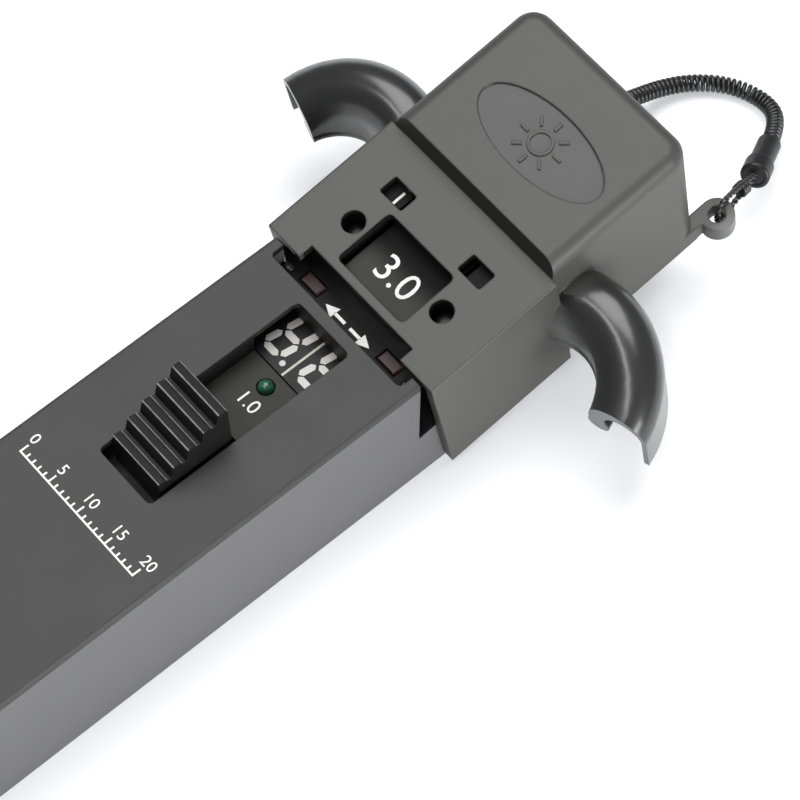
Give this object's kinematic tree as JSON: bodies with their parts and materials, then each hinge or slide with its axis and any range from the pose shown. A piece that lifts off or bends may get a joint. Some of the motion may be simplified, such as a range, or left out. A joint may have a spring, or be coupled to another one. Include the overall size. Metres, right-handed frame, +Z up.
{
  "type": "optical fiber identifier",
  "caption": "Hand-held fibre tester: long box case with a thumb slide, digit display and lamps, and a pitched clamp head under a lift-off light hood with curved wings and a curly tether.",
  "frame": {"origin": "on the rest face, on the centre line, below the line where the head begins", "axes": "+Z up from the rest face, +Y along the case towards the head, +X to the right"},
  "size_m": [0.077, 0.2272, 0.0382],
  "materials": {
    "case_shell": "satin, fine texture",
    "cover_shell": "matte, fine texture",
    "hood_shell": "satin",
    "head_plastic": "matte",
    "adapter_plastic": "matte",
    "knob_plastic": "satin, worn tread edges",
    "battery_jacket": "printed metal jacket",
    "clip_plastic": "matte",
    "board_green": "solder mask",
    "display_black": "gloss",
    "lamp_red": "clear tinted",
    "lamp_green": "clear tinted",
    "legend_film": "matte film",
    "spring_steel": "bright",
    "screw_steel": "bright",
    "detector_metal": "plated",
    "tether_plastic": "gloss",
    "ferrule_plastic": "satin",
    "link_cord": "braided"
  },
  "bodies": {
    "case": {"lower_case": "case_shell", "top_cover": "cover_shell", "cover_screws": "screw_steel", "battery": "battery_jacket", "battery_clip": "clip_plastic", "main_board": "board_green", "display_board": "board_green", "display_module_left": "display_black", "display_module_right": "display_black", "tone_led": "lamp_green", "legend_plate": "legend_film", "indicator_panel": "legend_film", "left_direction_led": "lamp_red", "right_direction_led": "lamp_red", "return_spring": "spring_steel", "head_frame": "head_plastic", "left_detector": "detector_metal", "right_detector": "detector_metal", "head_screws": "screw_steel", "case_ferrule": "ferrule_plastic", "case_link": "link_cord"},
    "slide": {"thumb_slide": "knob_plastic", "slide_carriage": "knob_plastic", "adapter_head": "adapter_plastic"},
    "hood": {"light_hood": "hood_shell", "hood_link": "link_cord", "hood_ferrule": "ferrule_plastic", "tether_coil": "tether_plastic"},
    "door": {"battery_door": "case_shell"}
  },
  "joints": [
    {"name": "thumb_slide_travel", "type": "slide", "parent": "case", "child": "slide", "axis": [0, 1, 0], "range_m": [-0.002, 0], "stiffness_N_per_m": 600, "springref_m": 0.004, "deforming": ["return_spring"]},
    {"name": "hood_lift", "type": "slide", "parent": "case", "child": "hood", "axis": [0, -0.1685, 0.9857], "range_m": [0, 0.032], "deforming": ["tether_coil"]},
    {"name": "battery_door_slide", "type": "slide", "parent": "case", "child": "door", "axis": [0, -1, 0], "range_m": [0, 0.054]}
  ]
}
